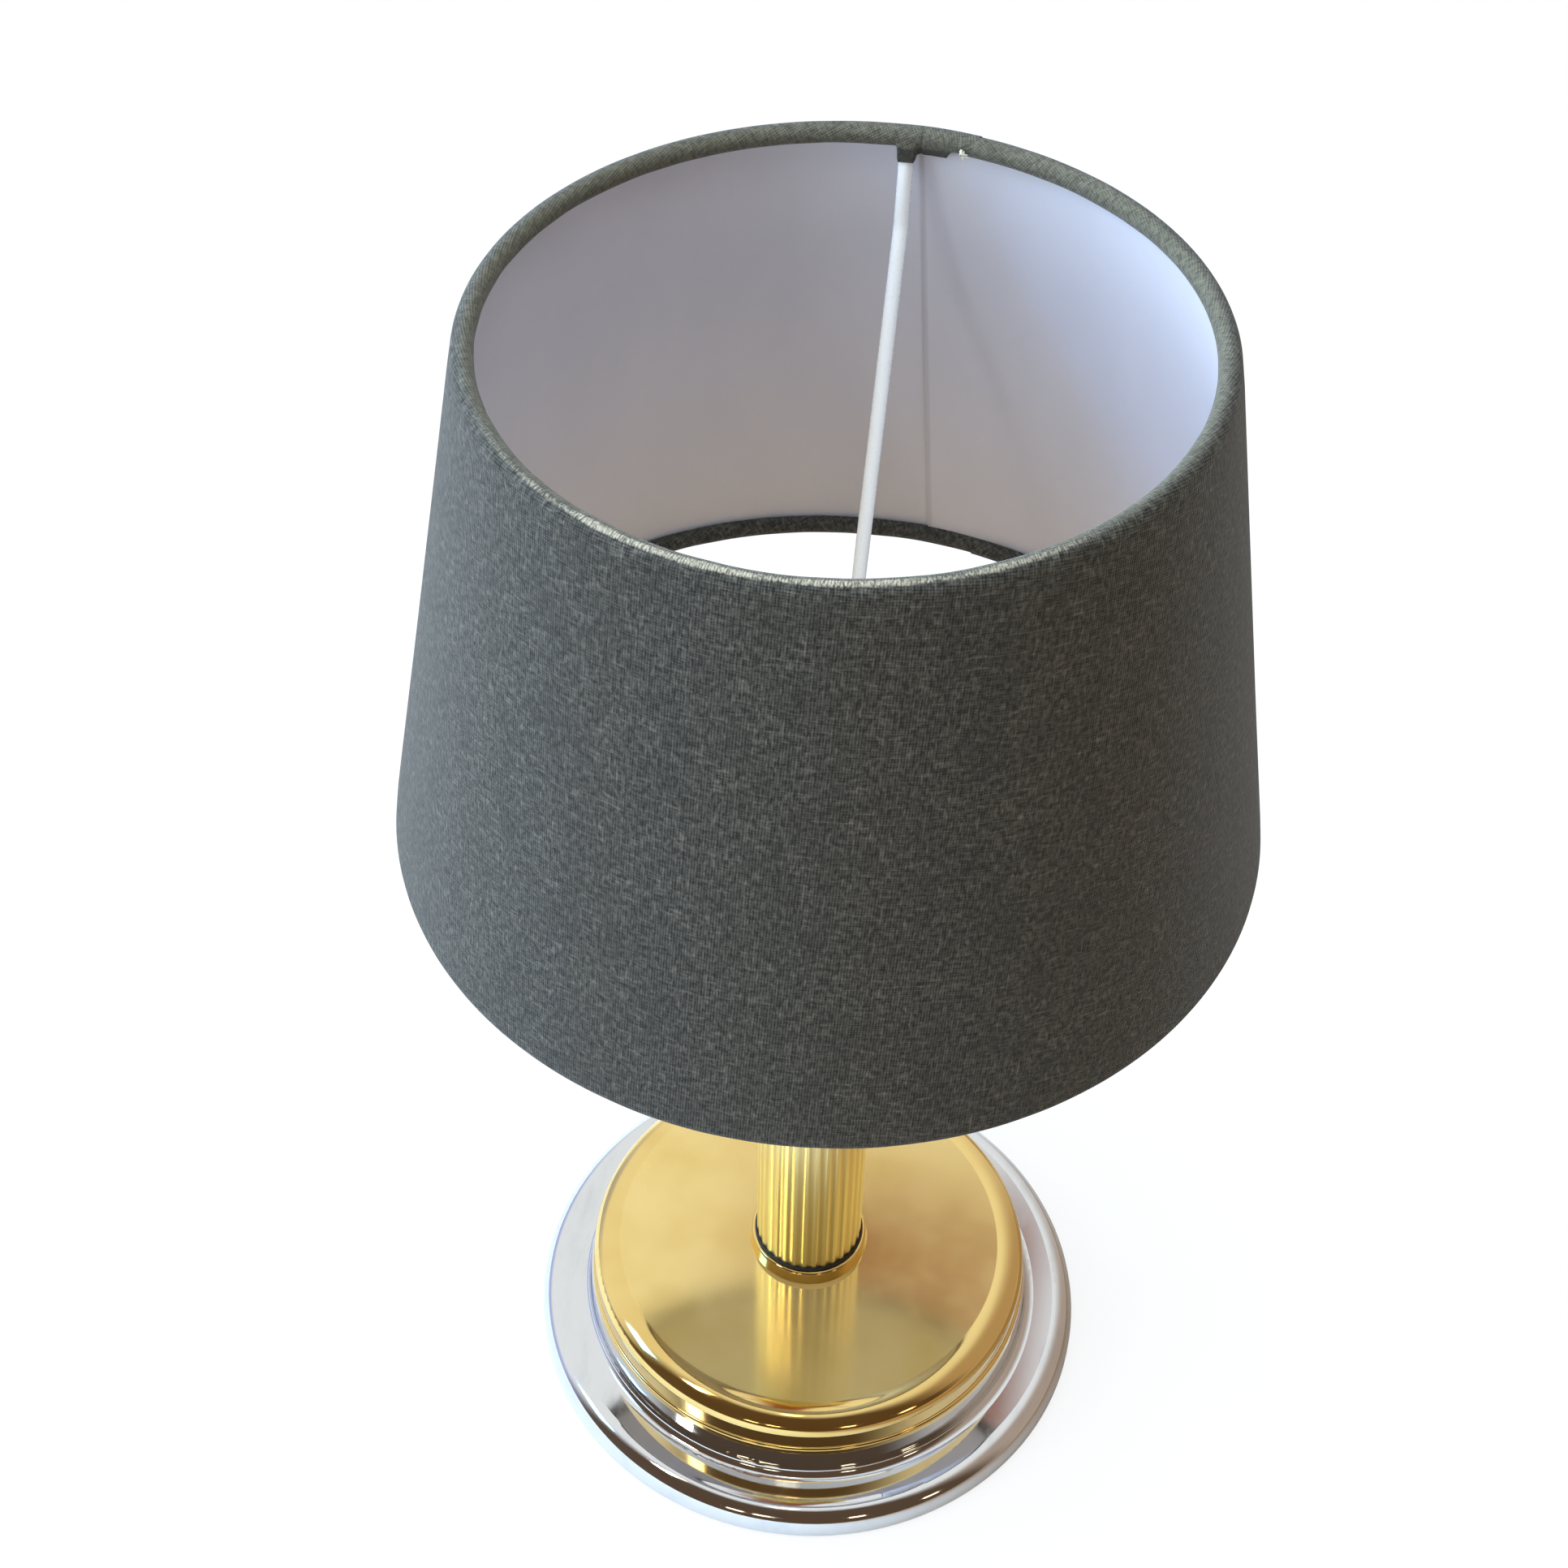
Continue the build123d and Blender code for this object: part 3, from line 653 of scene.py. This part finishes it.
def flat_cut(azimuth, run):
    """Where a point lies on the flat cut of the cone, run metres from the cone's tip."""
    angle = radians(azimuth - seam_azimuth - 180) * cone_share
    return (run * sin(angle), run * cos(angle))


def swell(azimuth, height, size, layer):
    """Smooth noise from -1 to 1 round the shade, with swells of a size in metres."""
    angle = radians(azimuth)
    around = Vector((cos(angle), sin(angle), 0)) * bottom_centre.x
    return noise.noise((around + Vector((0, 0, height))) / size + Vector((layer, layer, layer)))


def eased(value):
    """0 up to 0 and 1 from 1 on, with a smooth rise between."""
    share = min(max(value, 0), 1)
    return share * share * (3 - 2 * share)


def between(azimuth, start, end, ease=0.5):
    """1 from start to end, in degrees round the shade, with soft sides inside them."""
    past = (azimuth - start) % 360
    return eased(past / ease) * eased((end - start - past) / ease) if past < end - start else 0.0


# The shade's cloth

def hem_end(azimuth):
    """How far round the top wire the cloth goes: all the way, but cut away at the second and third arms."""
    beside = min(abs((azimuth - arm + 180) % 360 - 180) for arm in arm_azimuths[1:])
    return roll_end - notch_cut * (1 - eased((beside - notch_half_width) / notch_ease))


def rolled(centre, up, run, radius):
    """A point of a roll's section, run metres round the wire from the wall."""
    angle = run / hem_radius
    return centre + (outward * cos(angle) + up * sin(angle)) * radius


def hem_swell(azimuth, height):
    """How far a hem bulges at an azimuth."""
    fine = fine_swell * swell(azimuth, height, fine_swell_length, layer=1)
    return fine + broad_swell * swell(azimuth, height, broad_swell_length, layer=2)


def lower_hem_point(azimuth, share):
    """A point of the lower hem's section, and how far it is from the wall along the cloth."""
    run = share * radians(roll_end) * hem_radius
    radius = hem_radius + hem_swell(azimuth, bottom_centre.z) * eased(share * swell_onset)
    return rolled(bottom_centre, -slant, run, radius), run


def top_hem_point(azimuth, share):
    """A point of the top hem's section, and how far it is from the wall along the cloth. Where the hem has
    come loose, the cloth leaves the wire and hangs down, and over the arm it stands off."""
    loose = between(azimuth, loose_from, loose_to, loose_ease)
    cover = between(azimuth, cover_from, cover_to)
    radius = hem_radius + hem_swell(azimuth, top_centre.z) * eased(share * swell_onset)
    slit = between(azimuth, slit_azimuth - slit_half_width, slit_azimuth + slit_half_width, slit_ease)
    radius -= slit_depth * slit * eased(share * swell_onset - slit_start)
    whole = radians(hem_end(azimuth)) * hem_radius
    tight = rolled(top_centre, slant, share * whole, radius)
    leaves = radians(loose_leaves + (cover_leaves - loose_leaves) * cover) * hem_radius
    hanging = loose_length + (cover_length - loose_length) * cover
    run = share * (leaves + hanging)
    slack = rolled(top_centre, slant, min(run, leaves), radius)
    down = max(run - leaves, 0)
    lean = loose_lean + (cover_lean - loose_lean) * cover
    slack = slack - slant * down + outward * (lean * down)
    return tight + (slack - tight) * loose, share * whole


def wall_lift(azimuth, height):
    """How far the laminated wall stands out from the true cone."""
    return wall_swell * (1 + swell(azimuth, height, wall_swell_length, layer=3))


def wall_fade(share):
    """How much of the wall's lift shows at a share of its height."""
    return eased(min(share, 1 - share) * wall_onset + wall_least)


def cloth_point(azimuth, share):
    """share runs from -1 at the cloth's end inside the lower hem to 2 at its end inside the top hem."""
    seam = seam_rise * (1 - eased(((azimuth - seam_azimuth) - seam_lap) / seam_ease))
    run_start = (bottom_centre.x + outward.x * hem_radius) / cone_share
    beside_seam = 1 - eased(abs((azimuth - seam_azimuth + 180) % 360 - 180) / seam_reach)
    turn = 0
    fade = 0
    if share < 0:
        section, along = lower_hem_point(azimuth, -share)
        run = run_start + along
    elif share > 1:
        section, along = top_hem_point(azimuth, share - 1)
        run = run_start - wall_length - along
        turn = seam_skew * eased(share - lean_start) * beside_seam
    else:
        section = bottom_centre + slant * (wall_length * share) + outward * hem_radius
        run = run_start - wall_length * share
        fade = wall_fade(share)
    lift = wall_lift(azimuth, section.z) * fade + seam * (1 if 0 <= share <= 1 else hem_seam_share)
    return about_axis(section + outward * lift, azimuth + turn), flat_cut(azimuth, run)


def shade_cloth():
    """The cloth in one piece, from its end inside the lower hem to its end inside the top hem."""
    hem_rows = 18
    wall_rows = 22
    shares = [-1 + row / hem_rows for row in range(hem_rows)]
    shares += [row / wall_rows for row in range(wall_rows)]
    shares += [1 + row / hem_rows for row in range(hem_rows + 1)]
    cloth = rolled_sheet("shade_cloth", round_from(seam_azimuth), shares, cloth_point)
    modified(cloth, "SOLIDIFY", thickness=cloth_thickness, offset=-1.0)
    smoothed(cloth, angle=60.0)
    dressed(cloth, linen(), "shade")
    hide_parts("shade_fabric")


def chance(number, layer):
    """A value from 0 to 1 that is the same each time for a number and a layer."""
    return noise.cell(Vector((number, layer, 0)))


def frayed_threads():
    """A few cut threads that stick out of the top hem where its seam ends."""
    thread_count = 9
    thread_radius = 0.12 * MM
    steps = 6
    first_azimuth, spacing, scatter, drift_width = 79.9, 0.08, 0.22, 0.9     # degrees
    shortest, length_spread = 0.9 * MM, 0.9 * MM
    least_drop, drop_spread = 0.1 * MM, 0.9 * MM
    root = hem_radius * 0.98
    bow, bow_turn = 0.75 * MM, 0.8 * pi
    threads = []
    for number in range(thread_count):
        azimuth = first_azimuth + scatter * chance(number, 0) + spacing * number
        reach = shortest + length_spread * chance(number, 1)
        drop = least_drop + drop_spread * chance(number, 2)
        drift = drift_width * (chance(number, 3) - 0.5)
        points = []
        for step in range(steps + 1):
            share = step / steps
            inward = root + bow * sin(share * bow_turn)
            section = top_centre - outward * inward - slant * (drop + reach * share)
            points.append(about_axis(section, azimuth + drift * share * share))
        threads.append(strand(f"thread_{number}", thread_radius, points))
    tuft = joined(threads, "frayed_threads")
    smoothed(tuft, angle=60.0)
    dressed(tuft, cotton(), "shade")


# The shade's lining

def lining_point(azimuth, share):
    """A point of the lining, with share running from its lower edge to its upper one."""
    lap = seam_rise * eased((azimuth - (lining_end + 360 - seam_lap - seam_ease)) / seam_ease)
    run = ring_margin + (wall_length - 2 * ring_margin) * share
    section = bottom_centre + slant * run + outward * (hem_radius - lining_set)
    lift = wall_lift(azimuth, section.z) * wall_fade(share)
    section = section + outward * (lift - lap)
    turned_azimuth = azimuth + lining_skew * (share - 0.5)
    return about_axis(section, turned_azimuth), flat_cut(azimuth, bottom_centre.x / cone_share - run)


def shade_liner():
    """The plastic lining between the two rings, with its ends lapped beside the first arm."""
    rows = 22
    shares = [row / rows for row in range(rows + 1)]
    liner = rolled_sheet("shade_liner", round_from(lining_end), shares, lining_point)
    modified(liner, "SOLIDIFY", thickness=lining_thickness, offset=-1.0)
    smoothed(liner, angle=50.0)
    dressed(liner, lining_plastic(), "shade")
    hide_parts("shade_lining")


# Felt, candle and wick

def felt_disc():
    """The felt under the foot, with an edge that is a little fuller half way up."""
    _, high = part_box("felt_pad")
    top, edge = high.z, high.x
    middle = 2 * MM
    side = ((0.5, 0.0), (0.1, 0.35), (0.0, 0.6), (0.2, 0.9), (0.8, 1.0))    # mm inwards, share of the top
    outline = [(middle, 0), (edge / 2, 0)]
    outline += [(edge - inset * MM, share * top) for inset, share in side]
    outline += [(edge / 2, top), (middle, top)]
    pad = capped(turned("foot_felt", outline, sides=128))
    smoothed(pad)
    dressed(pad, felt(), "base")
    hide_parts("felt_pad")


def candle_stick():
    """The candle: a bevelled foot edge, a straight side, a tapered tip and a small hollow round the wick."""
    low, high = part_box("candle")
    side, foot, tip = high.x, low.z, high.z
    tip_height = 10 * MM
    shoulder = tip - tip_height
    foot_middle = 1.5 * MM
    foot_bevel = 1 * MM
    # mm in from the side, mm above the shoulder
    taper = ((0.0, -1.0), (0.2, 0.0), (0.9, 1.0), (3.0, 4.4), (5.2, 8.0), (6.2, 9.5), (6.9, 10.0))
    hollow = ((2.6, 0.3), (1.2, 0.5))      # mm from the axis, mm below the tip
    outline = [(foot_middle, foot), (side - foot_bevel, foot), (side, foot + foot_bevel)]
    outline += [(side - inset * MM, shoulder + rise * MM) for inset, rise in taper]
    outline += [(radius * MM, tip - depth * MM) for radius, depth in hollow]
    stick = capped(turned("candle_stick", outline, sides=72))
    smoothed(stick, angle=50.0)
    dressed(stick, wax(), "candle")
    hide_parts("candle")


def plaited_wick():
    """Three cotton strands twisted round each other, leaning a little at the top."""
    low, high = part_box("wick")
    strand_count, strand_radius = 3, 0.42 * MM
    twist_radius, twist_turns = 0.36 * MM, 4.5
    top_lean = 0.5 * MM
    steps = 40
    strands = []
    for number in range(strand_count):
        points = []
        for step in range(steps + 1):
            share = step / steps
            angle = tau * (number / strand_count + twist_turns * share)
            lean = top_lean * share ** 3
            height = low.z + (high.z - low.z) * share
            points.append((twist_radius * cos(angle) + lean, twist_radius * sin(angle), height))
        strands.append(strand(f"wick_strand_{number}", strand_radius, points))
    wick = joined(strands, "plaited_wick")
    smoothed(wick, angle=60.0)
    dressed(wick, cotton(), "candle")
    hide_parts("wick")


# Finishes of the CAD nodes

def paint(material, *names):
    """Gives CAD nodes a material instead of their own."""
    for name in names:
        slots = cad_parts[name].data.materials
        slots.clear()
        slots.append(material)


def paint_nodes():
    """Finishes for the CAD nodes that no modelled mesh replaces."""
    paint(chrome(), "base_flange")
    paint(satin_and_polished_brass(), "base_cap")
    paint(fluted_brass(), "column")
    paint(polished_brass(), "collar", "column_plug", "column_cap", "candle_tube", "bayonet_pins", "nozzle",
          "shade_carrier")
    paint(black_rubber(), "seal_ring")
    paint(cast_iron(), "base_weight")
    paint(zinc_steel(), "base_plate", "plate_screws", "base_washer", "base_nut", "tie_rod", "spacer_sleeve",
          "follower")
    paint(spring_steel(), "candle_spring")
    paint(white_coat(), "spider_ring", "top_ring", "bottom_ring", "spider_arm_1", "spider_arm_2",
          "spider_arm_3")


# Camera, floor and light

plain_white = (1, 1, 1, 1)


def add_camera():
    """The fitted camera, whose optical centre lies left of the frame's middle."""
    ahead = Vector((-sin(camera_turn), cos(camera_turn), 0))
    forward = ahead * cos(camera_tilt) - Vector((0, 0, sin(camera_tilt)))
    level = forward.cross(Vector((0, 0, 1))).normalized()
    upright = level.cross(forward)
    right = level * cos(camera_roll) + upright * sin(camera_roll)
    up = upright * cos(camera_roll) - level * sin(camera_roll)
    data = bpy.data.cameras.new("camera")
    data.sensor_width = sensor_width
    data.lens = focal_pixels / photo_pixels * sensor_width
    data.shift_x = (photo_pixels / 2 - lens_centre_pixel) / photo_pixels
    camera = bpy.data.objects.new("camera", data)
    turned_axes = Matrix((right, up, -forward)).transposed().to_4x4()
    camera.matrix_world = Matrix.Translation(camera_place) @ turned_axes
    scene.collection.objects.link(camera)
    scene.camera = camera


def add_floor():
    """A plain pale floor that turns to the white of the background away from the lamp. The light that it
    throws back is warm, and so is what metal at the right shows of it."""
    floor_size = 12
    pale_radius, white_radius = 0.18, 0.9  # metres from the lamp's axis
    near_white = 0.8                       # how white the camera sees it beside the lamp, where shadow shows
    right_dimming = 0.7                    # how much less of its white metal shows at the right
    dimming_range, warmth_range = (0.0, 0.2), (0.0, 0.12)              # metres right of the axis
    pale, paler, warm = tint(232, 232, 231), tint(236, 236, 236), tint(152, 120, 90)
    bpy.ops.mesh.primitive_plane_add(size=floor_size)
    floor = bpy.context.object
    floor.name = "floor"
    material = bpy.data.materials.new("pale_floor")
    material.use_nodes = True
    graph = Graph(material.node_tree)
    graph.tree.nodes.clear()
    x, y, _ = graph.parts(graph.place())
    far = graph.rise(graph.maths("SQRT", x * x + y * y), pale_radius, white_radius)
    rays = graph.node("LightPath").outputs
    mirrored = graph.maths("MAXIMUM", rays["Is Glossy Ray"], rays["Is Transmission Ray"])
    seen_white = Field(graph, rays["Is Camera Ray"]) * (near_white + (1 - near_white) * far)
    whitened = seen_white + mirrored * far * (1 - right_dimming * graph.rise(x, *dimming_range))
    grain = graph.clouds(graph.place(), size=20 * MM, detail=3.0)
    at_right = Field(graph, rays["Is Glossy Ray"]) * graph.rise(x, *warmth_range)
    warmed = graph.maths("MAXIMUM", rays["Is Diffuse Ray"], at_right)
    colour = graph.blend(warmed, graph.blend(grain, pale, paler), warm)
    matt = graph.node("BsdfDiffuse", None, {"Color": colour})
    white = graph.node("Emission", None, {"Color": plain_white, "Strength": 1.0})
    mixed = graph.node("MixShader", None, {0: whitened, 1: matt.outputs[0], 2: white.outputs[0]})
    output = graph.node("OutputMaterial")
    graph.tree.links.new(mixed.outputs[0], output.inputs["Surface"])
    floor.data.materials.append(material)


def mirrored_room(graph, x, y, z):
    """What the metal shows: a bright room behind, above and at the left, dim and warm at the right and in
    front, blue low at the left, with a dark beam overhead."""
    warm_wall, dark_front = tint(166, 134, 106), tint(96, 76, 60)
    blue_corner, dark_beam = (0.33, 0.4, 0.85, 1), (0.3, 0.1, 0.05, 1)
    right_weight, corner_weight = 0.8, 0.7
    # Each range is in parts of the direction looked in, from where a thing starts to where it is full
    right_side, right_top = (0.1, 0.75), (0.95, 0.75)
    corner_side, corner_top = (0.45, 0.8), (0.4, 0.15)
    front_side, front_top = (0.05, 0.4), (0.97, 0.88)
    beam_left, beam_right = (-0.14, -0.07), (0.015, -0.012)
    beam_foot, beam_front = (0.805, 0.835), (-0.1, 0.0)
    right = graph.rise(x, *right_side) * graph.rise(z, *right_top)
    low_left = graph.rise(0 - x, *corner_side) * graph.rise(z, *corner_top)
    front = graph.rise(0 - y, *front_side) * graph.rise(z, *front_top)
    beam = graph.rise(x, *beam_left) * graph.rise(z, *beam_foot) * graph.rise(x, *beam_right)
    beam = beam * graph.rise(y, *beam_front)
    room = graph.blend(right * right_weight, plain_white, warm_wall)
    room = graph.blend(low_left * corner_weight, room, blue_corner)
    room = graph.blend(front, room, dark_front)
    return graph.blend(beam, room, dark_beam)


def room_light(graph, x, z):
    """What lights cloth and plastic: cool at the left, most of it from low down, and warm at the right."""
    low_left, high_left = (6.4, 8.1, 9.8, 1), (2.6, 3.1, 3.7, 1)
    right, overhead = (0.1, 0.05, 0.01, 1), (2.6, 2.9, 3.1, 1)
    left_range, side_range, overhead_range = (0.1, 0.42), (-0.97, -0.15), (0.66, 0.95)
    left = graph.blend(graph.rise(z, *left_range), low_left, high_left)
    sides = graph.blend(graph.rise(x, *side_range), left, right)
    return graph.blend(graph.rise(z, *overhead_range), sides, overhead)


def add_world():
    """White where it is seen, with its own colours where it lights the lamp or shows in the metal."""
    world = bpy.data.worlds.new("studio")
    world.use_nodes = True
    scene.world = world
    graph = Graph(world.node_tree)
    graph.tree.nodes.clear()
    x, y, z = graph.parts(graph.place("Generated"))
    room = mirrored_room(graph, x, y, z)
    around = room_light(graph, x, z)
    rays = graph.node("LightPath").outputs
    mirrored = graph.maths("MAXIMUM", rays["Is Glossy Ray"], rays["Is Transmission Ray"])
    ambient = graph.node("Background", None, {"Color": around, "Strength": 1.0})
    seen = graph.node("Background", None, {"Color": plain_white, "Strength": 1.0})
    reflected = graph.node("Background", None, {"Color": room, "Strength": 1.0})
    lit = graph.node("MixShader", None, {0: mirrored, 1: ambient.outputs[0], 2: reflected.outputs[0]})
    shown = graph.node("MixShader", None, {0: rays["Is Camera Ray"], 1: lit.outputs[0], 2: seen.outputs[0]})
    output = graph.node("OutputWorld")
    graph.tree.links.new(shown.outputs[0], output.inputs["Surface"])


def add_lamp(name, azimuth, elevation, distance, size, power, colour):
    """A soft square lamp that looks at the shade's middle from an azimuth and elevation in degrees."""
    target = Vector((0, 0, (cloth_low.z + cloth_high.z) / 2))
    around, above = radians(azimuth), radians(elevation)
    back = Vector((cos(around) * cos(above), sin(around) * cos(above), sin(above)))
    data = bpy.data.lights.new(name, "AREA")
    data.size = size
    data.energy = power
    data.color = colour
    lamp = bpy.data.objects.new(name, data)
    lamp.location = target + back * distance
    lamp.rotation_mode = "QUATERNION"
    lamp.rotation_quaternion = (-back).to_track_quat("-Z", "Y")
    scene.collection.objects.link(lamp)


def add_lamps():
    """A blue window at the left, a key lamp, and six small warm lamps that glint in the metal."""
    window_blue, key_white, warm = (0.1, 0.38, 1.0), (1.0, 0.98, 0.95), (1.0, 0.82, 0.55)
    # Azimuth and elevation of each small lamp, in degrees
    small_places = ((-88, 68), (-140, 57), (-101, 12), (-92, 13), (-61, 14), (-36, 12))
    add_lamp("window", azimuth=193.5, elevation=34.5, distance=1.6, size=0.35, power=6.0, colour=window_blue)
    add_lamp("key", azimuth=-140, elevation=50, distance=1.6, size=0.16, power=2.5, colour=key_white)
    for number, (azimuth, elevation) in enumerate(small_places):
        add_lamp(f"small_lamp_{number}", azimuth, elevation, distance=2.0, size=0.18, power=0.5, colour=warm)


add_camera()
shade_cloth()
frayed_threads()
shade_liner()
felt_disc()
candle_stick()
plaited_wick()
paint_nodes()
add_floor()
add_world()
add_lamps()
scene.view_settings.view_transform = "Standard"
